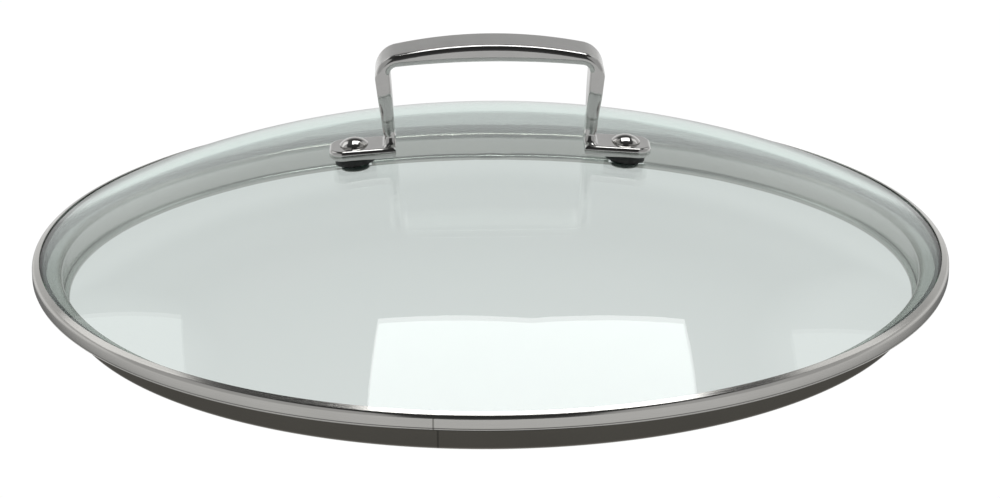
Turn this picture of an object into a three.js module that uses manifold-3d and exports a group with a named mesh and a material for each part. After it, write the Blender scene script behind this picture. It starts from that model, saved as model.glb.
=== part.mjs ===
// Domed glass pan lid with a rolled steel rim and a riveted bow handle.
//
// Units are millimetres. +Z is up. The origin is the centre of the circle on which the skirt stands,
// so the lid rests on the plane z = 0. The handle runs along X and the finger gap is open along Y.
//
// The glass is a disc of two tangent arcs, a flat crown and a tighter shoulder. Its edge sits in a
// channel of folded steel strip on a bead of silicone. Below the channel the strip steps in to a
// skirt that drops into the mouth of the pan and ends in a rolled edge. The handle is one casting. Each of its feet is held by
// a rivet that goes through a silicone grommet in the glass, a silicone gasket and a steel washer.
import * as THREE from "three";
import { mergeVertices } from "three/addons/utils/BufferGeometryUtils.js";
import Module from "manifold-3d";

const wasm = await Module();
wasm.setup();

// ---- Driving dimensions ----
const RIM = {
  outerRadius: 149.3, // outside of the channel
  skirtRadius: 139, // outside of the skirt, for a pan mouth of 280
  sheet: 0.4, // strip thickness
  skirtHeight: 9.8, // floor to the underside of the ledge that rests on the pan
  ledgeBend: 1.8, // inside radius of the bend between skirt and ledge
  channelTop: 13.5, // where the outer wall turns over the glass
  shoulder: 1.5, // radius of that turn
  lipRadius: 146.9, // inner edge of the lip on the glass
  lipAngle: 26.5, // rise of the lip, which lies along the glass, in degrees
  rollRadius: 1.1, // outside of the rolled edge at the bottom of the skirt
  rollFlat: 20, // half angle of the flat that the rolled edge stands on, in degrees
  sealantWidth: 5, // outer wall to the inner edge of the silicone
};
const GLASS = {
  apex: 46.8, // top of the dome
  thickness: 4,
  crown: 388, // radius of the top surface inside the knee
  shoulder: 287, // radius of the top surface outside the knee
  knee: 74.65, // distance from the axis where the two arcs meet
  edge: 147.4, // distance from the axis of the top surface's edge
  topArris: 0.5, // ground off the edge's upper corner
  lowArris: 0.8, // ground off its lower corner
};
const HANDLE = {
  top: 85.05, // top of the bow at its middle
  bar: 5.7, // thickness of the bow at its middle
  topArc: 148, // radius of the bow's upper side
  underArc: 300, // radius of the bow's lower side
  depth: 16, // front to back of the bow
  waist: 9, // front to back of the legs
  outerCorner: 8.4, // radius where the bow's upper side turns into the leg
  innerCorner: 2.4,
  edgeRadius: 1.9, // rounding along the edges of the bow and the legs
  rootFillet: 1.2, // radius where the leg's outer side meets the foot
  rootFlare: 3.2, // radius where the leg spreads to the foot's depth
  footSlope: 4.2, // fall of the foot towards its tip, in degrees
  footDepth: 15.5,
  footThickness: 3.4,
  footEdge: 1.2, // rounding along the foot's edges
  footLead: 0.3, // how far the foot starts inside the leg
  footBend: 1.8, // rounding under the foot's inner end
  footTip: 51.8, // distance from the axis of the foot's end
  footCorner: 5, // rounding of the foot's end in plan
  outerTop: 36.9, // half width outside the legs at the bow
  outerFoot: 34.1, // half width outside the legs at the foot
  innerTop: 32.1, // half width between the legs at the bow
  innerFoot: 30.4, // half width between the legs at the foot
};
const RIVET = {
  offset: 43.7, // distance from the axis
  shank: 2.4, // radius
  head: 4.6, // radius of the domed head on the foot
  headHeight: 2.25,
  tail: 3, // radius of the closed end under the glass
  tailHeight: 0.5,
  edge: 0.3, // height of the upright edge of the head and the tail
};
const STACK = {
  hole: 3.9, // radius of the hole in the glass
  grommet: 6.5, // radius of the grommet's flange
  sleeve: 3.7, // radius of the grommet's sleeve
  standOff: 2.2, // glass to the foot's underside
  washer: 4.6, // radius of the gasket and the washer under the glass
  gasketThickness: 0.4, // at the rivet
  washerThickness: 0.4,
};
const GAP = 0.1; // between two flat faces that touch
const SEAT_GAP = 0.15; // between a moulded face and the curved glass
const BORE_GAP = 0.15; // between the rivet's shank and what it passes through
const TURNS = 72; // segments of the big rings, shared so that their facets line up
const SMALL_TURNS = 20; // segments of the fastener parts

// ---- Geometry helpers ----
const point = (r, z) => new THREE.Vector2(r, z);

// A solid of revolution about Z from a profile of (radius, height) points.
function turned(points, segments) {
  return new THREE.LatheGeometry(points, segments).rotateX(Math.PI / 2);
}

// Points of an arc about (r, z), angles in degrees from the radial direction, both ends included.
function arc(r, z, radius, from, to, steps) {
  return Array.from({ length: steps + 1 }, (_, i) => {
    const a = THREE.MathUtils.degToRad(from + ((to - from) * i) / steps);
    return point(r + radius * Math.cos(a), z + radius * Math.sin(a));
  });
}

const closed = (points) => [...points, points[0].clone()];

function solidOf(geometry) {
  const bare = geometry.clone();
  bare.deleteAttribute("normal");
  bare.deleteAttribute("uv");
  const merged = mergeVertices(bare, 1e-4);
  return new wasm.Manifold(
    new wasm.Mesh({
      numProp: 3,
      vertProperties: new Float32Array(merged.attributes.position.array),
      triVerts: new Uint32Array(merged.index.array),
    }),
  );
}

function geometryOf(solid) {
  const mesh = solid.getMesh();
  return new THREE.BufferGeometry()
    .setAttribute("position", new THREE.BufferAttribute(new Float32Array(mesh.vertProperties), 3))
    .setIndex(new THREE.BufferAttribute(new Uint32Array(mesh.triVerts), 1));
}

// ---- Materials ----
const steel = (color, roughness) => new THREE.MeshStandardMaterial({ color, roughness, metalness: 1 });
const MATERIALS = {
  glass: new THREE.MeshStandardMaterial({
    color: 0xcfdedb,
    roughness: 0.03,
    metalness: 0,
    transparent: true,
    opacity: 0.35,
  }),
  rim: steel(0xc4c3be, 0.16),
  handle: steel(0xbdbcb8, 0.2),
  rivet: steel(0xc9c8c4, 0.1),
  washer: steel(0xa9a8a4, 0.3),
  silicone: new THREE.MeshStandardMaterial({ color: 0x2b2c2b, roughness: 0.6, metalness: 0 }),
  sealant: new THREE.MeshStandardMaterial({ color: 0xb9bfbc, roughness: 0.5, metalness: 0 }),
};

const lid = new THREE.Group();
function add(parent, name, geometry, material) {
  const mesh = new THREE.Mesh(geometry, material);
  mesh.name = name;
  parent.add(mesh);
  return mesh;
}

// ---- Glass ----
// A point on a surface of the dome, inset by depth below the top surface, at the slope angle given.
const kneeAngle = Math.asin(GLASS.knee / GLASS.crown);
const crownCentre = point(0, GLASS.apex - GLASS.crown);
const shoulderCentre = point(
  (GLASS.crown - GLASS.shoulder) * Math.sin(kneeAngle),
  crownCentre.y + (GLASS.crown - GLASS.shoulder) * Math.cos(kneeAngle),
);
const edgeAngle = Math.asin((GLASS.edge - shoulderCentre.x) / GLASS.shoulder);
function domePoint(angle, depth) {
  const inCrown = angle < kneeAngle;
  const centre = inCrown ? crownCentre : shoulderCentre;
  const radius = (inCrown ? GLASS.crown : GLASS.shoulder) - depth;
  return point(centre.x + radius * Math.sin(angle), centre.y + radius * Math.cos(angle));
}

// A line of the profile from the axis to where the ground edge begins, set back from the edge.
function domeLine(depth, steps, setBack) {
  const end = edgeAngle - setBack / GLASS.shoulder;
  return Array.from({ length: steps + 1 }, (_, i) => domePoint((end * i) / steps, depth));
}

// The rivet goes through this point of the glass, square to the foot.
const rivetFoot = domePoint(Math.asin(RIVET.offset / GLASS.crown), 0);
const rivetAngle = THREE.MathUtils.degToRad(HANDLE.footSlope);

const domeSteps = 11;
function glassDome() {
  const top = domeLine(0, domeSteps, GLASS.topArris);
  const under = domeLine(GLASS.thickness, domeSteps, GLASS.lowArris);
  const edge = [GLASS.thickness - GLASS.lowArris, GLASS.topArris].map((depth) => domePoint(edgeAngle, depth));
  const disc = solidOf(turned([...under, ...edge, ...top.reverse()], TURNS));
  return geometryOf([-1, 1].reduce((glass, side) => glass.subtract(rivetHole(side, STACK.hole)), disc));
}

// ---- Rim ----
const outerWall = RIM.outerRadius - RIM.sheet;
const lipAngle = THREE.MathUtils.degToRad(RIM.lipAngle);
// Height of the lip's top, which carries on from the turn at the top of the channel.
function lipTop(r) {
  const fromTurn = RIM.outerRadius - RIM.shoulder - r;
  return RIM.channelTop + (RIM.shoulder + fromTurn * Math.sin(lipAngle)) / Math.cos(lipAngle);
}
const lipUnder = (r) => lipTop(r) - RIM.sheet / Math.cos(lipAngle);
const ledgeTop = RIM.skirtHeight + RIM.sheet;

function rimBand() {
  const bend = RIM.ledgeBend;
  const lipEnd = RIM.lipRadius;
  const turnFrom = outerWall - 0.6; // where the lip's underside meets the channel's inside wall
  const roll = RIM.rollRadius;
  const flat = RIM.rollFlat;
  const rollCentre = point(RIM.skirtRadius - roll, roll * Math.cos(THREE.MathUtils.degToRad(flat)));
  const rolled = (radius, from, to, steps) => arc(rollCentre.x, rollCentre.y, radius, from, to, steps);
  return turned(
    closed([
      ...rolled(roll, -300, -90 - flat, 6),
      ...rolled(roll, -90 + flat, 0, 3),
      ...arc(RIM.skirtRadius + bend, RIM.skirtHeight - bend, bend, 180, 90, 3),
      ...arc(RIM.outerRadius - 0.5, RIM.skirtHeight + 0.5, 0.5, -90, 0, 2),
      ...arc(RIM.outerRadius - RIM.shoulder, RIM.channelTop, RIM.shoulder, 0, 90 - RIM.lipAngle, 4),
      point(lipEnd, lipTop(lipEnd)),
      point(lipEnd - 0.15, lipTop(lipEnd) - RIM.sheet / 2),
      point(lipEnd, lipUnder(lipEnd)),
      point(turnFrom, lipUnder(turnFrom)),
      point(outerWall, RIM.channelTop - 0.2),
      point(outerWall, ledgeTop + 0.35),
      point(outerWall - 0.35, ledgeTop),
      ...arc(RIM.skirtRadius + bend, RIM.skirtHeight - bend, bend + RIM.sheet, 90, 180, 4),
      ...rolled(roll - RIM.sheet, 0, -300, 8),
    ]),
    TURNS,
  );
}

// The silicone bead lies under and behind the edge of the glass and follows its ground corner.
function rimSealant() {
  const out = outerWall - GAP;
  const low = ledgeTop + GAP;
  const inner = out - RIM.sealantWidth;
  const underAngle = Math.asin((inner - shoulderCentre.x) / (GLASS.shoulder - GLASS.thickness));
  const aside = point(Math.cos(edgeAngle), -Math.sin(edgeAngle)).multiplyScalar(SEAT_GAP);
  return turned(
    closed([
      point(inner + 0.6, low),
      point(out - 0.4, low),
      point(out, low + 0.4),
      point(out, RIM.channelTop - 0.4),
      domePoint(edgeAngle, 1).add(aside),
      domePoint(edgeAngle, GLASS.thickness - GLASS.lowArris).add(aside),
      domePoint(edgeAngle - GLASS.lowArris / GLASS.shoulder, GLASS.thickness + SEAT_GAP),
      domePoint(underAngle, GLASS.thickness + SEAT_GAP),
      point(inner + 0.6, (domePoint(underAngle, GLASS.thickness).y + low) / 2),
    ]),
    TURNS,
  );
}

// ---- Handle ----
// Height at the half width x of a line that runs with the foot, at a distance over the rivet's point.
function overFoot(x, distance) {
  return rivetFoot.y - (x - rivetFoot.x) * Math.tan(rivetAngle) + distance / Math.cos(rivetAngle);
}

const footUnder = STACK.standOff;
const footTop = STACK.standOff + HANDLE.footThickness;
const bowTop = (x) => HANDLE.top - x ** 2 / (2 * HANDLE.topArc);
const bowUnder = (x) => HANDLE.top - HANDLE.bar - x ** 2 / (2 * HANDLE.underArc);
const mix = (from, to, t) => from + (to - from) * THREE.MathUtils.clamp(t, 0, 1);

// The turn from the bow into the leg, tangent to the bow, down to where it is upright.
function turnIntoLeg(halfWidth, corner, bowRadius, bowHeight) {
  const start = (halfWidth - corner) / (1 - corner / bowRadius);
  const slope = Math.asin(start / bowRadius);
  const z = bowHeight(start) - corner * Math.cos(slope);
  return arc(halfWidth - corner, z, corner, 90 - THREE.MathUtils.radToDeg(slope), 0, 5);
}

// How far a fillet has spread at a height over the surface it runs into.
function filletSpread(radius, height) {
  const left = Math.max(radius - height, 0);
  return radius - Math.sqrt(radius ** 2 - left ** 2);
}

// Stations from the middle of the bow down the right leg. Each has a point on the outer side, a point
// on the inner side and half the depth front to back.
function rightStations() {
  const outerTurn = turnIntoLeg(HANDLE.outerTop, HANDLE.outerCorner, HANDLE.topArc, bowTop);
  const innerTurn = turnIntoLeg(HANDLE.innerTop, HANDLE.innerCorner, HANDLE.underArc, bowUnder);
  const stations = [];
  const bowSteps = 6;
  for (let i = 0; i < bowSteps; i++) {
    const outer = (outerTurn[0].x * i) / bowSteps;
    const inner = (innerTurn[0].x * i) / bowSteps;
    stations.push([point(outer, bowTop(outer)), point(inner, bowUnder(inner)), HANDLE.depth / 2]);
  }
  outerTurn.forEach((outer, i) => stations.push([outer, innerTurn[i], HANDLE.depth / 2]));
  const outerStart = outerTurn.at(-1);
  const innerStart = innerTurn.at(-1);
  const floor = overFoot(HANDLE.outerFoot, footTop);
  // Share of the way down the leg, share of the narrowing from the bow's depth to the waist.
  const taper = [
    [0.25, 0],
    [0.35, 0.16],
    [0.45, 0.5],
    [0.55, 0.84],
    [0.65, 1],
    [0.8, 1],
  ];
  for (const [down, narrow] of taper) {
    stations.push([
      point(mix(outerStart.x, HANDLE.outerFoot, down), mix(outerStart.y, floor, down)),
      point(mix(innerStart.x, HANDLE.innerFoot, down), mix(innerStart.y, floor, down)),
      mix(HANDLE.depth / 2, HANDLE.waist / 2, narrow),
    ]);
  }
  // The root of the leg spreads into the foot, and its last ring lies inside the foot.
  for (const rise of [3.2, 2, 1.2, 0.6, 0.25, 0, -1.5]) {
    const spread = filletSpread(HANDLE.rootFillet, Math.max(rise, 0));
    const flare = filletSpread(HANDLE.rootFlare, Math.max(rise, 0));
    const outer = HANDLE.outerFoot + spread;
    const inner = HANDLE.innerFoot + (rise < 0 ? 0.5 : 0);
    stations.push([
      point(outer, overFoot(outer, footTop) + rise - 0.05),
      point(inner, overFoot(inner, footTop) + rise - 0.05),
      Math.min(HANDLE.waist / 2 + flare, HANDLE.footDepth / 2 - HANDLE.footEdge),
    ]);
  }
  return stations;
}

// A rounded rectangle between the outer and the inner point of a station, with its corners in order.
function stationRing([outer, inner, half]) {
  const thickness = outer.distanceTo(inner);
  const corner = Math.min(HANDLE.edgeRadius, thickness / 2 - 0.2);
  const across = outer.clone().sub(inner).divideScalar(thickness);
  const ringPoints = [];
  for (const [sideways, up] of [
    [1, 1],
    [-1, 1],
    [-1, -1],
    [1, -1],
  ]) {
    const steps = 3;
    for (let i = 0; i <= steps; i++) {
      const a = (Math.PI / 2) * (sideways * up > 0 ? i / steps : 1 - i / steps);
      const along = up * (thickness / 2 - corner + corner * Math.sin(a)) + thickness / 2;
      const y = sideways * (half - corner + corner * Math.cos(a));
      ringPoints.push(new THREE.Vector3(inner.x + across.x * along, y, inner.y + across.y * along));
    }
  }
  return ringPoints;
}

// A closed skin over rings of equal length, with a fan over each end.
function lofted(rings) {
  const n = rings[0].length;
  const middle = (ringPoints) =>
    ringPoints.reduce((sum, p) => sum.add(p), new THREE.Vector3()).divideScalar(ringPoints.length);
  const vertices = [...rings.flat(), middle(rings[0]), middle(rings.at(-1))];
  const last = (rings.length - 1) * n;
  const faces = [];
  for (let r = 0; r + 1 < rings.length; r++) {
    for (let i = 0; i < n; i++) {
      const j = (i + 1) % n;
      faces.push(r * n + i, (r + 1) * n + j, (r + 1) * n + i);
      faces.push(r * n + i, r * n + j, (r + 1) * n + j);
    }
  }
  for (let i = 0; i < n; i++) {
    const j = (i + 1) % n;
    faces.push(rings.length * n, j, i);
    faces.push(rings.length * n + 1, last + i, last + j);
  }
  return new THREE.BufferGeometry().setFromPoints(vertices).setIndex(faces);
}

function bowAndLegs() {
  const right = rightStations();
  const mirrored = right
    .slice(1)
    .reverse()
    .map(([outer, inner, half]) => [point(-outer.x, outer.y), point(-inner.x, inner.y), half]);
  return lofted([...mirrored, ...right].map(stationRing));
}

// A foot seen from above, with its edges held back by the size of the bevel.
function footPlan(inset) {
  const back = HANDLE.footDepth / 2 - inset;
  const inner = HANDLE.innerFoot - HANDLE.footLead + inset - rivetFoot.x;
  const tip = HANDLE.footTip - inset - rivetFoot.x;
  const corner = HANDLE.footCorner - inset;
  const shape = new THREE.Shape();
  shape.moveTo(inner, -back);
  shape.lineTo(tip - corner, -back);
  shape.absarc(tip - corner, -back + corner, corner, -Math.PI / 2, 0, false);
  shape.absarc(tip - corner, back - corner, corner, 0, Math.PI / 2, false);
  shape.lineTo(inner, back);
  return shape;
}

// A block that the foot is cut down to, so that the underside of its inner end is a round bend.
function footBend() {
  const inner = HANDLE.innerFoot - HANDLE.footLead - rivetFoot.x;
  const bend = HANDLE.footBend;
  const side = new THREE.Shape();
  side.moveTo(inner, footTop + 1);
  side.absarc(inner + bend, footUnder + bend, bend, Math.PI, 1.5 * Math.PI, false);
  side.lineTo(HANDLE.footTip, footUnder);
  side.lineTo(HANDLE.footTip, footTop + 1);
  const options = { depth: 2 * HANDLE.footDepth, bevelEnabled: false, curveSegments: 4 };
  return new THREE.ExtrudeGeometry(side, options).rotateX(Math.PI / 2).translate(0, HANDLE.footDepth, 0);
}

function foot(side) {
  const bevel = HANDLE.footEdge;
  const plate = new THREE.ExtrudeGeometry(footPlan(bevel), {
    depth: HANDLE.footThickness - 2 * bevel,
    bevelThickness: bevel,
    bevelSize: bevel,
    bevelSegments: 3,
    curveSegments: 5,
  }).translate(0, 0, footUnder + bevel);
  const turn = side < 0 ? Math.PI : 0;
  const inPlace = (geometry) =>
    solidOf(geometry.rotateY(rivetAngle).translate(rivetFoot.x, 0, rivetFoot.y).rotateZ(turn));
  return inPlace(plate).intersect(inPlace(footBend()));
}

function rivetHole(side, radius) {
  const drill = new THREE.CylinderGeometry(radius, radius, 20, SMALL_TURNS).rotateX(Math.PI / 2);
  return solidOf(drill.rotateY(side * rivetAngle).translate(side * rivetFoot.x, 0, rivetFoot.y));
}

function bowHandle() {
  let body = solidOf(bowAndLegs());
  for (const side of [-1, 1]) {
    body = body.add(foot(side)).subtract(rivetHole(side, RIVET.shank + BORE_GAP));
  }
  return geometryOf(body);
}

// ---- Fasteners ----
// Each is turned about the rivet's axis. Height 0 is the top of the glass, and +X points down the foot.
const underGlass = -GLASS.thickness - SEAT_GAP;
const gasketLow = underGlass - STACK.gasketThickness;
const washerTop = gasketLow - GAP;
const washerLow = washerTop - STACK.washerThickness;

// The curved side of a domed cap from its middle out to its upright edge, as (radius, height).
function cap(radius, height, steps) {
  const rise = height - RIVET.edge;
  const sphere = (radius ** 2 + rise ** 2) / (2 * rise);
  const half = THREE.MathUtils.radToDeg(Math.asin(radius / sphere));
  return arc(0, height - sphere, sphere, 90, 90 - half, steps);
}

function rivet() {
  const seat = footTop + GAP;
  const tailTop = washerLow - GAP;
  const head = cap(RIVET.head, RIVET.headHeight, 4).map((p) => point(p.x, seat + p.y));
  const tail = cap(RIVET.tail, RIVET.tailHeight, 3).map((p) => point(p.x, tailTop - p.y));
  return turned(
    [
      ...tail,
      point(RIVET.tail, tailTop),
      point(RIVET.shank, tailTop),
      point(RIVET.shank, seat),
      point(RIVET.head, seat),
      ...head.reverse(),
    ],
    SMALL_TURNS,
  );
}

const bore = RIVET.shank + BORE_GAP;

function ring(inner, outer, low, high) {
  return turned(
    closed([point(inner, low), point(outer, low), point(outer, high), point(inner, high)]),
    SMALL_TURNS,
  );
}

// The glass without its holes and with room round it, as it lies under a fastener. Silicone that is
// pressed against the glass is cut back to this.
function glassSeat() {
  const top = domeLine(-SEAT_GAP, domeSteps, GLASS.topArris);
  const under = domeLine(GLASS.thickness + SEAT_GAP, domeSteps, GLASS.lowArris);
  const disc = turned([...under, ...top.reverse()], TURNS);
  return solidOf(disc.translate(-rivetFoot.x, 0, -rivetFoot.y).rotateY(-rivetAngle));
}

function grommet() {
  const flange = solidOf(ring(bore, STACK.grommet, -1, STACK.standOff - GAP));
  const sleeve = solidOf(ring(bore, STACK.sleeve, -GLASS.thickness, 1));
  return geometryOf(flange.subtract(glassSeat()).add(sleeve));
}

function lowerGasket() {
  return geometryOf(solidOf(ring(bore, STACK.washer, gasketLow, 1 - GLASS.thickness)).subtract(glassSeat()));
}

add(lid, "glass_dome", glassDome(), MATERIALS.glass);
add(lid, "rim_band", rimBand(), MATERIALS.rim);
add(lid, "rim_sealant", rimSealant(), MATERIALS.sealant);
add(lid, "bow_handle", bowHandle(), MATERIALS.handle);

for (const [label, side] of [
  ["left", -1],
  ["right", 1],
]) {
  const stack = new THREE.Group();
  stack.position.set(side * rivetFoot.x, 0, rivetFoot.y);
  stack.rotation.set(0, rivetAngle, side < 0 ? Math.PI : 0, "ZYX");
  add(stack, `rivet_${label}`, rivet(), MATERIALS.rivet);
  add(stack, `grommet_${label}`, grommet(), MATERIALS.silicone);
  add(stack, `lower_gasket_${label}`, lowerGasket(), MATERIALS.sealant);
  add(stack, `backing_washer_${label}`, ring(bore, STACK.washer, washerLow, washerTop), MATERIALS.washer);
  lid.add(stack);
}

export default lid;
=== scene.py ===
"""Domed glass pan lid: the visual model, its materials, the studio and the camera.

Lengths are given in millimetres, as on a drawing, and become metres where a mesh is made. +Z is up,
the lid stands on z = 0, the handle runs along X and the front is at -Y.
"""

import math

import bmesh
import bpy
from mathutils import Matrix, Vector

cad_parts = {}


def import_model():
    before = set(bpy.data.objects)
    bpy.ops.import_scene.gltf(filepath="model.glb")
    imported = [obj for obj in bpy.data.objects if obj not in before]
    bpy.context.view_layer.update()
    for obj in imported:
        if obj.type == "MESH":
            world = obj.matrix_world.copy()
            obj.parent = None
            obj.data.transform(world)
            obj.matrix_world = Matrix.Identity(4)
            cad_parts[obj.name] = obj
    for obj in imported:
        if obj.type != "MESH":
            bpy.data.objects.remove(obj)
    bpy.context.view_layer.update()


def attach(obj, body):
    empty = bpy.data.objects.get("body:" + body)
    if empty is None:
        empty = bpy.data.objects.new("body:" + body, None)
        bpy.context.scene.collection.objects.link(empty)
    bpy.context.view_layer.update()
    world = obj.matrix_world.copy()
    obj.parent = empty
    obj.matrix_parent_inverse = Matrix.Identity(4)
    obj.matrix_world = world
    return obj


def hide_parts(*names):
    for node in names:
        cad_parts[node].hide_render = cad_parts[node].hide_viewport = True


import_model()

MM = 0.001

# ---- Driving dimensions, the same as the CAD's ----
RIM_OUTER = 149.3  # outside of the channel
RIM_SKIRT = 139.0  # outside of the skirt
RIM_SHEET = 0.4
RIM_LEDGE = 9.8  # underside of the ledge that rests on the pan
RIM_LEDGE_BEND = 1.8  # inside radius of the bend between skirt and ledge
RIM_CHANNEL_TOP = 13.5
RIM_SHOULDER = 1.5  # radius of the turn over the glass
RIM_LIP = 146.9  # inner edge of the lip
RIM_LIP_SLOPE = math.radians(26.5)
RIM_ROLL = 1.1  # outside radius of the rolled edge at the bottom of the skirt
RIM_ROLL_FLAT = 20  # half angle of the flat that it stands on, in degrees
SEALANT_WIDTH = 5.0
SEAM_ANGLE = math.radians(-97.7)  # where the two ends of the strip are welded

GLASS_APEX = 46.8
GLASS_THICK = 4.0
GLASS_CROWN = 388.0  # radius of the top surface inside the knee
GLASS_SHOULDER = 287.0  # radius of the top surface outside the knee
GLASS_KNEE = 74.65
GLASS_EDGE = 147.4
GLASS_TOP_ARRIS = 0.5
GLASS_LOW_ARRIS = 0.8

BOW_TOP = 85.05
BOW_BAR = 5.7  # thickness at the middle
BOW_TOP_ARC = 148.0
BOW_UNDER_ARC = 300.0
BOW_DEPTH = 16.0
LEG_WAIST = 9.0
BOW_OUTER_CORNER = 8.4
BOW_INNER_CORNER = 2.4
BOW_EDGE = 1.9  # rounding along the edges
LEG_ROOT = 1.2  # radius where the leg's outer side meets the foot
LEG_FLARE = 3.2  # radius where the leg spreads to the foot's depth
LEG_OUTER_TOP = 36.9
LEG_OUTER_FOOT = 34.1
LEG_INNER_TOP = 32.1
LEG_INNER_FOOT = 30.4
FOOT_SLOPE = math.radians(4.2)
FOOT_DEPTH = 15.5
FOOT_THICK = 3.4
FOOT_LEAD = 0.3
FOOT_BEND = 1.8  # rounding under the foot's inner end
FOOT_TIP = 51.8
FOOT_CORNER = 5.0
FOOT_EDGE = 1.2  # rounding along the edges

RIVET_OFFSET = 43.7
RIVET_SHANK = 2.4
RIVET_HEAD = 4.6
RIVET_HEAD_HEIGHT = 2.25
RIVET_TAIL = 3.0
RIVET_TAIL_HEIGHT = 0.5
RIVET_EDGE = 0.3
HOLE = 3.9  # radius of the hole in the glass
GROMMET = 6.5
SLEEVE = 3.7
STAND_OFF = 2.2
WASHER = 4.6
GASKET_THICK = 0.4
WASHER_THICK = 0.4
GAP = 0.1
SEAT_GAP = 0.15
BORE = RIVET_SHANK + 0.15

TURNS = 288  # segments of the big rings
SMALL_TURNS = 72  # segments of the fasteners


# ---- Profiles ----
def arc(r, z, radius, start, end, steps):
    """Points of an arc about (r, z), angles in degrees from the radial direction."""
    angles = [math.radians(start + (end - start) * i / steps) for i in range(steps + 1)]
    return [(r + radius * math.cos(a), z + radius * math.sin(a)) for a in angles]


def rounded(corners, steps=6):
    """A closed outline from (r, z, radius) corners, with each corner turned at its radius."""
    outline = []
    for i, (r, z, radius) in enumerate(corners):
        here = Vector((r, z))
        back = (Vector(corners[i - 1][:2]) - here).normalized()
        on = (Vector(corners[(i + 1) % len(corners)][:2]) - here).normalized()
        half = back.angle(on) / 2
        reach = radius / math.tan(half)
        middle = here + (back + on).normalized() * radius / math.sin(half)
        first, last = here + back * reach - middle, here + on * reach - middle
        for k in range(steps + 1):
            spoke = first.lerp(last, k / steps).normalized() * radius
            outline.append(tuple(middle + spoke))
    return outline


def cap(radius, height, steps):
    """The curved side of a domed cap from its middle out to its upright edge, as (radius, height)."""
    rise = height - RIVET_EDGE
    sphere = (radius**2 + rise**2) / (2 * rise)
    half = math.degrees(math.asin(radius / sphere))
    return arc(0, height - sphere, sphere, 90, 90 - half, steps)


# ---- Dome ----
KNEE_ANGLE = math.asin(GLASS_KNEE / GLASS_CROWN)
CROWN_CENTRE = (0.0, GLASS_APEX - GLASS_CROWN)
SHOULDER_CENTRE = (
    (GLASS_CROWN - GLASS_SHOULDER) * math.sin(KNEE_ANGLE),
    CROWN_CENTRE[1] + (GLASS_CROWN - GLASS_SHOULDER) * math.cos(KNEE_ANGLE),
)
EDGE_ANGLE = math.asin((GLASS_EDGE - SHOULDER_CENTRE[0]) / GLASS_SHOULDER)


def dome_point(angle, depth):
    """A point at the slope angle given, inset by depth below the glass's top surface."""
    in_crown = angle < KNEE_ANGLE
    r, z = CROWN_CENTRE if in_crown else SHOULDER_CENTRE
    radius = (GLASS_CROWN if in_crown else GLASS_SHOULDER) - depth
    return (r + radius * math.sin(angle), z + radius * math.cos(angle))


def dome_line(depth, steps, set_back):
    end = EDGE_ANGLE - set_back / GLASS_SHOULDER
    return [dome_point(end * i / steps, depth) for i in range(steps + 1)]


RIVET_FOOT = dome_point(math.asin(RIVET_OFFSET / GLASS_CROWN), 0)


def on_rivet(side):
    """The place of a fastener: Z is its axis, height 0 is the top of the glass, X is down the foot."""
    turn = Matrix.Rotation(math.pi if side < 0 else 0, 4, "Z")
    shift = Matrix.Translation((RIVET_FOOT[0], 0, RIVET_FOOT[1]))
    return turn @ shift @ Matrix.Rotation(FOOT_SLOPE, 4, "Y")


# ---- Meshes ----
def object_from(name, bm, sharp=35):
    """An object from a bmesh in millimetres, shaded smooth apart from edges over the sharp angle."""
    bmesh.ops.recalc_face_normals(bm, faces=bm.faces)
    bmesh.ops.scale(bm, vec=(MM, MM, MM), verts=bm.verts)
    mesh = bpy.data.meshes.new(name)
    bm.to_mesh(mesh)
    bm.free()
    mesh.shade_smooth()
    mesh.set_sharp_from_angle(angle=math.radians(sharp))
    piece = bpy.data.objects.new(name, mesh)
    bpy.context.scene.collection.objects.link(piece)
    return piece


def turned(outline, turns, place=Matrix()):
    """A bmesh solid of revolution about Z. Points of the outline on the axis become single poles."""
    bm = bmesh.new()
    rings = []
    for r, z in outline:
        if r < 1e-6:
            rings.append([bm.verts.new(place @ Vector((0, 0, z)))] * turns)
            continue
        angles = [2 * math.pi * i / turns for i in range(turns)]
        rings.append([bm.verts.new(place @ Vector((r * math.cos(a), r * math.sin(a), z))) for a in angles])
    open_ends = outline[0][0] < 1e-6 and outline[-1][0] < 1e-6
    for low, high in zip(rings, rings[1:] if open_ends else rings[1:] + rings[:1]):
        for i in range(turns):
            j = (i + 1) % turns
            corners = [low[i], low[j], high[j], high[i]]
            bm.faces.new(list(dict.fromkeys(corners)))
    return bm


def drilled(piece, radius):
    """Cuts the two rivet holes through a piece."""
    for side in (-1, 1):
        outline = [(0, -10), (radius, -10), (radius, 10), (0, 10)]
        drill = object_from("drill", turned(outline, SMALL_TURNS, on_rivet(side)))
        combine(piece, drill, "DIFFERENCE")


def combine(piece, other, operation):
    """Applies one boolean to a piece and removes the other object."""
    step = piece.modifiers.new("combine", "BOOLEAN")
    step.operation = operation
    step.solver = "EXACT"
    step.object = other
    made = bpy.data.meshes.new_from_object(piece.evaluated_get(bpy.context.evaluated_depsgraph_get()))
    piece.modifiers.remove(step)
    old = piece.data
    piece.data = made
    made.name = piece.name
    bpy.data.meshes.remove(old)
    bpy.data.objects.remove(other)


def finish_piece(piece, node, material):
    """Puts a finished piece in the place of its CAD node."""
    piece.data.materials.clear()
    piece.data.materials.append(material)
    even = piece.modifiers.new("even_normals", "WEIGHTED_NORMAL")
    even.keep_sharp = True
    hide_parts(node)
    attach(piece, "root")
    return piece


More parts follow.
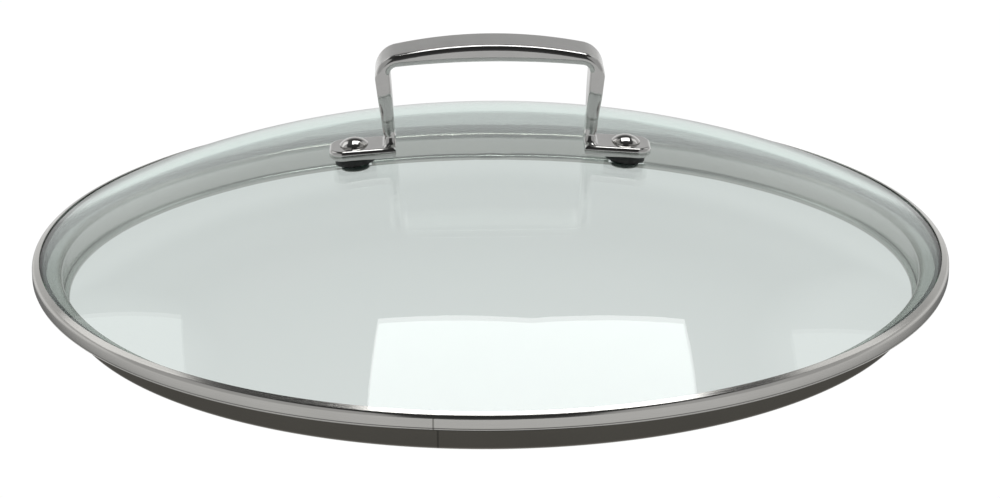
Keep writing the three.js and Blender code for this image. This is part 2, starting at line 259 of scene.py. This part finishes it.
# ---- Pieces ----
def glass_dome(material):
    steps = 60
    under = dome_line(GLASS_THICK, steps, GLASS_LOW_ARRIS)
    edge = [dome_point(EDGE_ANGLE, depth) for depth in (GLASS_THICK - GLASS_LOW_ARRIS, GLASS_TOP_ARRIS)]
    top = dome_line(0, steps, GLASS_TOP_ARRIS)
    piece = object_from("glass", turned(under + edge + top[::-1], TURNS), sharp=20)
    drilled(piece, HOLE)
    return finish_piece(piece, "glass_dome", material)


def lip_top(r):
    """Height of the lip's top, which carries on from the turn at the top of the channel."""
    from_turn = RIM_OUTER - RIM_SHOULDER - r
    return RIM_CHANNEL_TOP + (RIM_SHOULDER + from_turn * math.sin(RIM_LIP_SLOPE)) / math.cos(RIM_LIP_SLOPE)


def rim_band(material):
    wall = RIM_OUTER - RIM_SHEET
    ledge = RIM_LEDGE + RIM_SHEET
    lip_under = RIM_SHEET / math.cos(RIM_LIP_SLOPE)
    channel = rounded(
        [
            (RIM_OUTER, RIM_LEDGE, 0.5),
            (RIM_OUTER, lip_top(RIM_OUTER), RIM_SHOULDER),
            (RIM_LIP, lip_top(RIM_LIP), 0.15),
            (RIM_LIP, lip_top(RIM_LIP) - lip_under, 0.1),
            (wall, lip_top(wall) - lip_under, 0.8),
            (wall, ledge, 0.3),
        ]
    )
    bend = (RIM_SKIRT + RIM_LEDGE_BEND, RIM_LEDGE - RIM_LEDGE_BEND)
    roll = (RIM_SKIRT - RIM_ROLL, RIM_ROLL * math.cos(math.radians(RIM_ROLL_FLAT)))
    outline = [
        *arc(*roll, RIM_ROLL, -300, -90 - RIM_ROLL_FLAT, 24),
        *arc(*roll, RIM_ROLL, -90 + RIM_ROLL_FLAT, 0, 10),
        *arc(*bend, RIM_LEDGE_BEND, 180, 90, 12),
        *channel,
        *arc(*bend, RIM_LEDGE_BEND + RIM_SHEET, 90, 180, 12),
        *arc(*roll, RIM_ROLL - RIM_SHEET, 0, -300, 30),
    ]
    return finish_piece(object_from("rim", turned(outline, TURNS)), "rim_band", material)


def rim_sealant(material):
    """The silicone bead lies under and behind the edge of the glass."""
    out = RIM_OUTER - RIM_SHEET - GAP
    low = RIM_LEDGE + RIM_SHEET + GAP
    inner = out - SEALANT_WIDTH
    under_angle = math.asin((inner - SHOULDER_CENTRE[0]) / (GLASS_SHOULDER - GLASS_THICK))
    aside = Vector((math.cos(EDGE_ANGLE), -math.sin(EDGE_ANGLE))) * SEAT_GAP
    bed = [
        dome_point(EDGE_ANGLE - GLASS_LOW_ARRIS / GLASS_SHOULDER, GLASS_THICK + SEAT_GAP),
        *[
            dome_point(EDGE_ANGLE + (under_angle - EDGE_ANGLE) * i / 8, GLASS_THICK + SEAT_GAP)
            for i in range(2, 9)
        ],
    ]
    outline = [
        (inner + 0.6, low),
        (out - 0.4, low),
        (out, low + 0.4),
        (out, RIM_CHANNEL_TOP - 0.4),
        tuple(Vector(dome_point(EDGE_ANGLE, 1)) + aside),
        tuple(Vector(dome_point(EDGE_ANGLE, GLASS_THICK - GLASS_LOW_ARRIS)) + aside),
        *bed,
        (inner + 0.6, (dome_point(under_angle, GLASS_THICK)[1] + low) / 2),
    ]
    return finish_piece(object_from("sealant", turned(outline, TURNS)), "rim_sealant", material)


def over_foot(x, distance):
    """Height of a line that runs with the foot, at a distance over the rivet's point on the glass."""
    fall = (x - RIVET_FOOT[0]) * math.tan(FOOT_SLOPE)
    return RIVET_FOOT[1] - fall + distance / math.cos(FOOT_SLOPE)


def mix(low, high, t):
    return low + (high - low) * t


def smooth(t):
    t = min(max(t, 0), 1)
    return t * t * (3 - 2 * t)


def turn_into_leg(half_width, corner, bow_radius, bow_height):
    """The turn from the bow into the leg, tangent to the bow, down to where it is upright."""
    start = (half_width - corner) / (1 - corner / bow_radius)
    slope = math.asin(start / bow_radius)
    z = bow_height(start) - corner * math.cos(slope)
    return arc(half_width - corner, z, corner, 90 - math.degrees(slope), 0, 16)


def bow_top(x):
    return BOW_TOP - x**2 / (2 * BOW_TOP_ARC)


def bow_under(x):
    return BOW_TOP - BOW_BAR - x**2 / (2 * BOW_UNDER_ARC)


def fillet_spread(radius, height):
    """How far a fillet has spread at a height over the surface it runs into."""
    left = max(radius - height, 0)
    return radius - math.sqrt(radius**2 - left**2)


def right_stations():
    """From the middle of the bow down the right leg: outer point, inner point, half the depth."""
    outer_turn = turn_into_leg(LEG_OUTER_TOP, BOW_OUTER_CORNER, BOW_TOP_ARC, bow_top)
    inner_turn = turn_into_leg(LEG_INNER_TOP, BOW_INNER_CORNER, BOW_UNDER_ARC, bow_under)
    half, waist = BOW_DEPTH / 2, LEG_WAIST / 2
    stations = []
    bow_steps = 20
    for i in range(bow_steps):
        outer, inner = outer_turn[0][0] * i / bow_steps, inner_turn[0][0] * i / bow_steps
        stations.append(((outer, bow_top(outer)), (inner, bow_under(inner)), half))
    stations += [(outer, inner, half) for outer, inner in zip(outer_turn, inner_turn)]
    foot_top = STAND_OFF + FOOT_THICK
    floor = over_foot(LEG_OUTER_FOOT, foot_top)
    (outer_x, outer_z), (inner_x, inner_z) = outer_turn[-1], inner_turn[-1]
    leg_steps = 24
    for i in range(1, leg_steps):
        down = 0.86 * i / leg_steps
        stations.append(
            (
                (mix(outer_x, LEG_OUTER_FOOT, down), mix(outer_z, floor, down)),
                (mix(inner_x, LEG_INNER_FOOT, down), mix(inner_z, floor, down)),
                mix(half, waist, smooth((down - 0.25) / 0.4)),
            )
        )
    root_steps = 16
    for i in range(root_steps + 1):
        rise = LEG_FLARE * (1 - math.sin(math.pi / 2 * i / root_steps))
        outer = LEG_OUTER_FOOT + fillet_spread(LEG_ROOT, rise)
        depth = min(waist + fillet_spread(LEG_FLARE, rise), FOOT_DEPTH / 2 - FOOT_EDGE)
        stations.append(
            (
                (outer, over_foot(outer, foot_top) + rise - 0.05),
                (LEG_INNER_FOOT, over_foot(LEG_INNER_FOOT, foot_top) + rise - 0.05),
                depth,
            )
        )
    outer, inner = LEG_OUTER_FOOT + LEG_ROOT, LEG_INNER_FOOT + 0.5
    last = ((outer, over_foot(outer, foot_top) - 1.5), (inner, over_foot(inner, foot_top) - 1.5))
    return stations + [(*last, FOOT_DEPTH / 2 - FOOT_EDGE)]


def station_ring(station):
    """A rounded rectangle between the outer and the inner point of a station."""
    outer, inner, half = Vector(station[0]), Vector(station[1]), station[2]
    thick = (outer - inner).length
    across = (outer - inner) / thick
    corner = min(BOW_EDGE, thick / 2 - 0.2)
    steps = 6
    ring = []
    for sideways, up in ((1, 1), (-1, 1), (-1, -1), (1, -1)):
        for k in range(steps + 1):
            share = k / steps if sideways * up > 0 else 1 - k / steps
            a = math.pi / 2 * share
            along = up * (thick / 2 - corner + corner * math.sin(a)) + thick / 2
            y = sideways * (half - corner + corner * math.cos(a))
            at = inner + across * along
            ring.append(Vector((at.x, y, at.y)))
    return ring


def lofted(rings):
    """A closed bmesh skin over rings of equal length."""
    bm = bmesh.new()
    loops = [[bm.verts.new(p) for p in ring] for ring in rings]
    n = len(loops[0])
    for a, b in zip(loops, loops[1:]):
        for i in range(n):
            j = (i + 1) % n
            bm.faces.new([a[i], a[j], b[j], b[i]])
    bm.faces.new(loops[0])
    bm.faces.new(loops[-1])
    return bm


def foot_outline(inset):
    """A foot seen from above, about the rivet, with its edges held back by inset."""
    back = FOOT_DEPTH / 2 - inset
    inner = LEG_INNER_FOOT - FOOT_LEAD + inset - RIVET_FOOT[0]
    tip = FOOT_TIP - inset - RIVET_FOOT[0]
    corner = FOOT_CORNER - inset
    front = arc(tip - corner, -back + corner, corner, -90, 0, 12)
    rear = arc(tip - corner, back - corner, corner, 0, 90, 12)
    return [(inner, -back), *front, *rear, (inner, back)]


def foot(side):
    """A flat plate with its edges rounded over."""
    rings = []
    for height, turn in ((STAND_OFF, -1), (STAND_OFF + FOOT_THICK, 1)):
        bevel = []
        for i in range(5):
            a = math.pi / 2 * i / 4
            inset = FOOT_EDGE * (1 - math.cos(a))
            z = height - turn * FOOT_EDGE * (1 - math.sin(a))
            bevel.append([Vector((x, y, z)) for x, y in foot_outline(inset)])
        rings += bevel if turn > 0 else bevel[::-1]
    plate = lofted(rings)
    bmesh.ops.transform(plate, matrix=on_rivet(side), verts=plate.verts)
    piece = object_from("foot", plate)
    combine(piece, foot_bend(side), "INTERSECT")
    return piece


def foot_bend(side):
    """A block that the foot is cut down to, so that the underside of its inner end is a round bend."""
    inner = LEG_INNER_FOOT - FOOT_LEAD - RIVET_FOOT[0]
    high = STAND_OFF + FOOT_THICK + 1
    bend = arc(inner + FOOT_BEND, STAND_OFF + FOOT_BEND, FOOT_BEND, 180, 270, 16)
    outline = [(inner, high), *bend, (FOOT_TIP, STAND_OFF), (FOOT_TIP, high)]
    block = lofted([[Vector((x, y, z)) for x, z in outline] for y in (-FOOT_DEPTH, FOOT_DEPTH)])
    bmesh.ops.transform(block, matrix=on_rivet(side), verts=block.verts)
    return object_from("bend", block)


def bow_handle(material):
    right = right_stations()
    left = [((-o[0], o[1]), (-i[0], i[1]), half) for o, i, half in right[:0:-1]]
    piece = object_from("handle", lofted([station_ring(s) for s in left + right]))
    for side in (-1, 1):
        combine(piece, foot(side), "UNION")
    drilled(piece, BORE)
    return finish_piece(piece, "bow_handle", material)


def glass_seat():
    """The glass without its holes and with room round it, to cut pressed silicone back to."""
    top = dome_line(-SEAT_GAP, 60, GLASS_TOP_ARRIS)
    under = dome_line(GLASS_THICK + SEAT_GAP, 60, GLASS_LOW_ARRIS)
    return object_from("seat", turned(under + top[::-1], TURNS))


def ring(low, high, outer, round_low, round_high):
    """The outline of a ring round the rivet's shank, with the rounding of its two outer edges."""
    corners = [(BORE, low, 0.08), (outer, low, round_low), (outer, high, round_high), (BORE, high, 0.08)]
    return rounded(corners, 4)


def fasteners(side, name, materials):
    """The rivet, the grommet, the gasket and the washer of one foot."""
    place = on_rivet(side)

    def piece(node, outline):
        return object_from(f"{node}_{name}_finished", turned(outline, SMALL_TURNS, place))

    seat = STAND_OFF + FOOT_THICK + GAP
    gasket_low = -GLASS_THICK - SEAT_GAP - GASKET_THICK
    washer_top = gasket_low - GAP
    tail_top = washer_top - WASHER_THICK - GAP
    head = [(r, seat + z) for r, z in cap(RIVET_HEAD, RIVET_HEAD_HEIGHT, 16)]
    tail = [(r, tail_top - z) for r, z in cap(RIVET_TAIL, RIVET_TAIL_HEIGHT, 12)]
    shank = [(RIVET_TAIL, tail_top), (RIVET_SHANK, tail_top), (RIVET_SHANK, seat), (RIVET_HEAD, seat)]
    rivet = piece("rivet", tail + shank + head[::-1])
    grommet = piece("grommet", ring(-1, STAND_OFF - GAP, GROMMET, 0.1, 0.25))
    combine(grommet, glass_seat(), "DIFFERENCE")
    sleeve = object_from("sleeve", turned(ring(-GLASS_THICK, 1, SLEEVE, 0.2, 0.1), SMALL_TURNS, place))
    combine(grommet, sleeve, "UNION")
    gasket = piece("lower_gasket", ring(gasket_low, 1 - GLASS_THICK, WASHER, 0.1, 0.1))
    combine(gasket, glass_seat(), "DIFFERENCE")
    washer = piece("backing_washer", ring(washer_top - WASHER_THICK, washer_top, WASHER, 0.15, 0.15))
    finish_piece(rivet, f"rivet_{name}", materials["rivet"])
    finish_piece(grommet, f"grommet_{name}", materials["gasket"])
    finish_piece(gasket, f"lower_gasket_{name}", materials["sealant"])
    finish_piece(washer, f"backing_washer_{name}", materials["washer"])


# ---- Materials ----
class Nodes:
    """Short names for building a node tree."""

    def __init__(self, tree):
        self.tree = tree

    def add(self, kind, **settings):
        node = self.tree.nodes.new(kind)
        for key, value in settings.items():
            setattr(node, key, value)
        return node

    def feed(self, socket, value):
        """Sets a socket to a number or a colour, or links another node's output to it."""
        if isinstance(value, bpy.types.NodeSocket):
            self.tree.links.new(value, socket)
        elif isinstance(value, tuple):
            socket.default_value = (*value, 1)
        else:
            socket.default_value = value

    def parts(self, vector):
        node = self.add("ShaderNodeSeparateXYZ")
        self.feed(node.inputs[0], vector)
        return tuple(node.outputs)

    def maths(self, operation, *inputs):
        node = self.add("ShaderNodeMath", operation=operation)
        for socket, value in zip(node.inputs, inputs):
            self.feed(socket, value)
        return node.outputs[0]

    def ranged(self, value, low, high, to_low, to_high, easing="LINEAR"):
        node = self.add("ShaderNodeMapRange", interpolation_type=easing)
        self.feed(node.inputs["Value"], value)
        for key, number in (("From Min", low), ("From Max", high), ("To Min", to_low), ("To Max", to_high)):
            node.inputs[key].default_value = number
        return node.outputs[0]

    def ramp(self, value, stops, easing="LINEAR"):
        """A level between stops, each a position from 0 to 1 and the level there."""
        node = self.add("ShaderNodeValToRGB")
        node.color_ramp.interpolation = easing
        elements = node.color_ramp.elements
        elements.remove(elements[-1])
        elements[0].position = stops[0][0]
        for position, _ in stops[1:]:
            elements.new(position)
        for element, (_, level) in zip(elements, stops):
            element.color = (level, level, level, 1)
        self.feed(node.inputs[0], value)
        return node.outputs[0]

    def between(self, factor, first, second, kind="FLOAT"):
        """A value between two, each given or another node's output."""
        node = self.add("ShaderNodeMix", data_type=kind)
        for key, value in (("Factor", factor), ("A", first), ("B", second)):
            self.feed(node.inputs[key], value)
        return node.outputs["Result"]

    def blend(self, factor, first, second):
        return self.between(factor, first, second, "RGBA")

    def glow(self, light, output, strength):
        """Ends the tree in an even white light."""
        node = self.add(light)
        self.feed(node.inputs["Strength"], strength)
        self.feed(self.add(output).inputs["Surface"], node.outputs[0])


class Surface(Nodes):
    """The nodes of one piece's material."""

    def __init__(self, name):
        self.material = bpy.data.materials.new(name)
        self.material.use_nodes = True
        super().__init__(self.material.node_tree)
        self.shader = self.tree.nodes["Principled BSDF"]
        self.output = self.tree.nodes["Material Output"]

    def set(self, key, value):
        self.feed(self.shader.inputs[key], value)

    def position(self):
        return self.add("ShaderNodeTexCoord").outputs["Object"]

    def scaled(self, vector, factors):
        node = self.add("ShaderNodeVectorMath", operation="MULTIPLY")
        self.feed(node.inputs[0], vector)
        node.inputs[1].default_value = factors
        return node.outputs[0]

    def noise(self, vector, scale, detail=3.0, roughness=0.5):
        node = self.add("ShaderNodeTexNoise")
        self.feed(node.inputs["Vector"], vector)
        for key, value in (("Scale", scale), ("Detail", detail), ("Roughness", roughness)):
            node.inputs[key].default_value = value
        return node.outputs["Fac"]

    def bump(self, height, distance):
        node = self.add("ShaderNodeBump")
        self.feed(node.inputs["Height"], height)
        node.inputs["Distance"].default_value = distance
        self.set("Normal", node.outputs["Normal"])


def from_axis(n, x, y):
    """Distance from the lid's axis."""
    return n.maths("SQRT", n.maths("ADD", n.maths("MULTIPLY", x, x), n.maths("MULTIPLY", y, y)))


def round_axis(n):
    """A vector of distance from the axis, angle round it and height, and then its three parts."""
    x, y, z = n.parts(n.position())
    around = (from_axis(n, x, y), n.maths("ARCTAN2", y, x), z)
    joined = n.add("ShaderNodeCombineXYZ")
    for socket, value in zip(joined.inputs, around):
        n.feed(socket, value)
    return joined.outputs[0], *around


def glass_material():
    n = Surface("clear_glass")
    n.set("Transmission Weight", 1.0)
    n.set("IOR", 1.5)
    film = n.noise(n.position(), 22, 5, 0.6)
    n.set("Base Color", n.blend(film, (0.965, 0.985, 0.98), (1.0, 1.0, 1.0)))
    n.set("Roughness", n.ranged(film, 0.45, 0.75, 0.0, 0.02))
    tint = n.add("ShaderNodeVolumeAbsorption")
    tint.inputs["Color"].default_value = (0.72, 0.93, 0.86, 1)
    tint.inputs["Density"].default_value = 60.0
    n.feed(n.output.inputs["Volume"], tint.outputs[0])
    return n.material


def rim_material():
    """Bright strip with fine lines round it, darker and browner on the outside of the skirt as painted
    shade for the dark reflection under the ledge together with some staining, with one weld line.
    """
    n = Surface("rim_strip_steel")
    around, radius, angle, z = round_axis(n)
    lines = n.noise(n.scaled(around, (9000, 6, 9000)), 1, 2, 0.6)
    cloud = n.noise(n.position(), 35, 4, 0.55)
    bright = n.blend(cloud, (0.66, 0.65, 0.62), (0.76, 0.75, 0.72))
    # Painted shade with some staining: the outside of the skirt under the ledge is darkened to stand in for
    # the dark reflection there.
    skirt_painted_shade = n.blend(cloud, (0.34, 0.32, 0.28), (0.42, 0.40, 0.35))
    below_ledge = n.ranged(z, 0.0098, 0.0102, 1.0, 0.0)
    outside = n.ranged(radius, 0.1387, 0.1388, 0.0, 1.0)
    steel = n.blend(n.maths("MULTIPLY", below_ledge, outside), bright, skirt_painted_shade)
    from_seam = n.maths("MULTIPLY", n.maths("ABSOLUTE", n.maths("SUBTRACT", angle, SEAM_ANGLE)), radius)
    below_lip = n.ranged(z, 0.0138, 0.0140, 1.0, 0.0)
    on_seam = n.maths("MULTIPLY", below_lip, n.ranged(from_seam, 0.0001, 0.0004, 0.6, 0.0))
    n.set("Metallic", 1.0)
    n.set("Base Color", n.blend(on_seam, steel, (0.10, 0.095, 0.08)))
    n.set("Roughness", n.ranged(lines, 0.3, 0.7, 0.10, 0.22))
    n.bump(lines, 0.000004)
    return n.material


def cast_steel():
    """Polished steel, satin on the top of the bow."""
    n = Surface("handle_cast_steel")
    grain = n.noise(n.scaled(n.position(), (60, 2400, 2400)), 1, 3, 0.6)
    cloud = n.noise(n.position(), 120, 4, 0.55)
    _, sideways, up = n.parts(n.add("ShaderNodeTexCoord").outputs["Normal"])
    height = n.parts(n.position())[2]
    on_bow = n.ranged(height, 0.070, 0.072, 0.0, 1.0)
    outward = n.ranged(up, 0.3, 0.7, 0.0, 1.0)
    off_edges = n.ranged(n.maths("ABSOLUTE", sideways), 0.15, 0.35, 1.0, 0.0)
    on_top = n.maths("MULTIPLY", on_bow, n.maths("MULTIPLY", outward, off_edges))
    polished = n.ranged(grain, 0.3, 0.7, 0.08, 0.16)
    satin = n.ranged(grain, 0.3, 0.7, 0.34, 0.46)
    n.set("Metallic", 1.0)
    n.set("Base Color", n.blend(cloud, (0.60, 0.595, 0.58), (0.70, 0.695, 0.68)))
    n.set("Roughness", n.between(on_top, polished, satin))
    n.bump(grain, 0.000003)
    return n.material


def turned_steel(name, dark, light, least_rough, most_rough):
    n = Surface(name)
    spots = n.noise(n.position(), 900, 4, 0.6)
    n.set("Metallic", 1.0)
    n.set("Base Color", n.blend(spots, dark, light))
    n.set("Roughness", n.ranged(spots, 0.3, 0.7, least_rough, most_rough))
    n.bump(spots, 0.000004)
    return n.material


def silicone(name, dark, light):
    n = Surface(name)
    mottle = n.noise(n.position(), 1500, 4, 0.6)
    n.set("Base Color", n.blend(mottle, dark, light))
    n.set("Roughness", n.ranged(mottle, 0.3, 0.7, 0.45, 0.65))
    n.bump(mottle, 0.00001)
    return n.material


# ---- Studio ----
FLOOR_SEEN = 1.02  # brightness of the floor to the camera
FLOOR_SHADED_THROUGH_GLASS = 0.78  # straight through the glass, dimmed as painted shade under the lid
FLOOR_SHADE_UNDER = 0.50  # painted shade in reflections, inside the skirt
FLOOR_SHADOW_AT_EDGE = 0.16  # painted shadow in reflections, under the rim
FLOOR_AROUND = 0.55  # in reflections, round the lid
FLOOR_BEHIND = 0.84  # in reflections, behind the lid

BACKDROP = [(0.12, 0.80), (0.26, 0.60), (0.36, 0.60), (0.46, 0.28), (0.62, 0.05)]  # by sine of elevation
WALLS = 0.50  # brightness of the room at each side
ROOM = 0.035  # brightness of the darkest part of the room


def glowing(name, corners):
    """A staged flat face with an empty material, and that material's nodes."""
    mesh = bpy.data.meshes.new(name)
    mesh.from_pydata(corners, [], [tuple(range(len(corners)))])
    face = bpy.data.objects.new(name, mesh)
    bpy.context.scene.collection.objects.link(face)
    material = bpy.data.materials.new(name)
    material.use_nodes = True
    material.node_tree.nodes.clear()
    mesh.materials.append(material)
    return face, Nodes(material.node_tree)


def panel(name, corners, radiance):
    """A soft light panel that glows evenly and that the camera doesn't see."""
    face, n = glowing(name, corners)
    n.glow("ShaderNodeEmission", "ShaderNodeOutputMaterial", radiance)
    face.visible_camera = False


def floor():
    """A plain pale floor. In reflections it carries a painted shadow under the lid's edge and painted shade
    inside the skirt, and it is brightest behind the lid. Seen straight through the glass it is dimmed as
    painted shade under the lid.
    """
    far, low = 8.0, -0.0003
    _, n = glowing("floor", [(-far, -far, low), (far, -far, low), (far, far, low), (-far, far, low)])
    x, y, _ = n.parts(n.add("ShaderNodeNewGeometry").outputs["Position"])
    reach = 0.2
    # Painted shade inside the skirt and a painted shadow under the rim, seen only in reflections.
    stops = [(0.138, FLOOR_SHADE_UNDER), (0.140, FLOOR_SHADOW_AT_EDGE), (0.160, FLOOR_SHADOW_AT_EDGE), (0.174, FLOOR_AROUND)]
    share = n.ranged(from_axis(n, x, y), 0.0, reach, 0.0, 1.0)
    near = n.ramp(share, [(radius / reach, level) for radius, level in stops])
    reflected = n.between(n.ranged(y, 0.18, 0.28, 0.0, 1.0), near, FLOOR_BEHIND)
    path = n.add("ShaderNodeLightPath").outputs
    straight = n.maths("SUBTRACT", path["Is Transmission Ray"], path["Glossy Depth"])
    # Painted shade: the floor seen straight through the glass is dimmed as if shaded by the lid.
    unseen = n.between(straight, reflected, FLOOR_SHADED_THROUGH_GLASS)
    strength = n.between(path["Is Camera Ray"], unseen, FLOOR_SEEN)
    n.glow("ShaderNodeEmission", "ShaderNodeOutputMaterial", strength)


def world():
    """A pale backdrop that darkens upwards, a dim wall at each side, and a dark room in front."""
    room = bpy.data.worlds.new("studio")
    bpy.context.scene.world = room
    room.use_nodes = True
    n = Nodes(room.node_tree)
    n.tree.nodes.clear()
    across, back, up = n.parts(n.add("ShaderNodeTexCoord").outputs["Generated"])
    behind = n.ranged(back, -0.25, 0.35, 0.05, 1.0, "SMOOTHSTEP")
    backdrop = n.maths("MULTIPLY_ADD", n.ramp(up, BACKDROP, "EASE"), behind, ROOM)
    aside = n.ranged(n.maths("ABSOLUTE", across), 0.32, 0.44, 0.0, WALLS, "SMOOTHSTEP")
    low = n.ranged(up, 0.84, 0.72, 0.0, 1.0, "SMOOTHSTEP")
    unseen = n.maths("MAXIMUM", backdrop, n.maths("MULTIPLY", aside, low))
    strength = n.between(n.add("ShaderNodeLightPath").outputs["Is Camera Ray"], unseen, 1.0)
    n.glow("ShaderNodeBackground", "ShaderNodeOutputWorld", strength)


def lights():
    """A big soft box over and behind the lid, with its far side drawn in, and a dim panel each side."""
    height = 1.2
    overhead = [(-0.29, 0.10), (0.50, 0.15), (0.46, 0.75), (0.10, 0.645), (-0.235, 0.69)]
    left = [(-0.74, 0.50), (-0.77, 1.12), (-1.35, 1.95), (-2.20, 0.90)]
    right = [(0.78, 0.50), (0.77, 0.90), (1.35, 1.50), (2.00, 0.90)]
    for name, corners, radiance in (
        ("overhead_panel", overhead, 3.0),
        ("left_panel", left, 0.95),
        ("right_panel", right, 0.85),
    ):
        panel(name, [(x, y, height) for x, y in corners], radiance)


def camera():
    """Looks down at the front of the lid, with a slight turn to the left and a slight roll."""
    elevation, azimuth, roll = math.radians(19.62), math.radians(-1.2), -0.0045
    distance = 1.1944
    look_at = Vector((0, 0, 0.01005))
    back = Vector(
        (
            math.cos(elevation) * math.sin(azimuth),
            -math.cos(elevation) * math.cos(azimuth),
            math.sin(elevation),
        )
    )
    place = look_at + back * distance
    right = Vector((0, 0, 1)).cross(back).normalized()
    aim = look_at + right * 0.0031 + back.cross(right) * 0.00315
    back = (place - aim).normalized()
    right = Vector((0, 0, 1)).cross(back).normalized()
    up = back.cross(right)
    across = right * math.cos(roll) + up * math.sin(roll)
    data = bpy.data.cameras.new("camera")
    data.sensor_width = 36.0
    data.lens = 131.05
    body = bpy.data.objects.new("camera", data)
    bpy.context.scene.collection.objects.link(body)
    turn = Matrix((across, back.cross(across), back)).transposed().to_4x4()
    body.matrix_world = Matrix.Translation(place) @ turn
    bpy.context.scene.camera = body


def view_settings():
    scene = bpy.context.scene
    scene.view_settings.view_transform = "Standard"
    scene.view_settings.look = "None"
    scene.cycles.max_bounces = 16
    scene.cycles.transmission_bounces = 12
    scene.cycles.glossy_bounces = 8


camera()
materials = {
    "rivet": turned_steel("rivet_steel", (0.70, 0.69, 0.67), (0.80, 0.79, 0.77), 0.04, 0.10),
    "washer": turned_steel("washer_steel", (0.50, 0.50, 0.48), (0.62, 0.62, 0.60), 0.22, 0.36),
    "gasket": silicone("black_silicone", (0.02, 0.02, 0.02), (0.045, 0.045, 0.045)),
    "sealant": silicone("grey_silicone", (0.15, 0.16, 0.155), (0.20, 0.21, 0.205)),
}
glass_dome(glass_material())
rim_band(rim_material())
rim_sealant(materials["sealant"])
bow_handle(cast_steel())
fasteners(-1, "left", materials)
fasteners(1, "right", materials)
floor()
world()
lights()
view_settings()
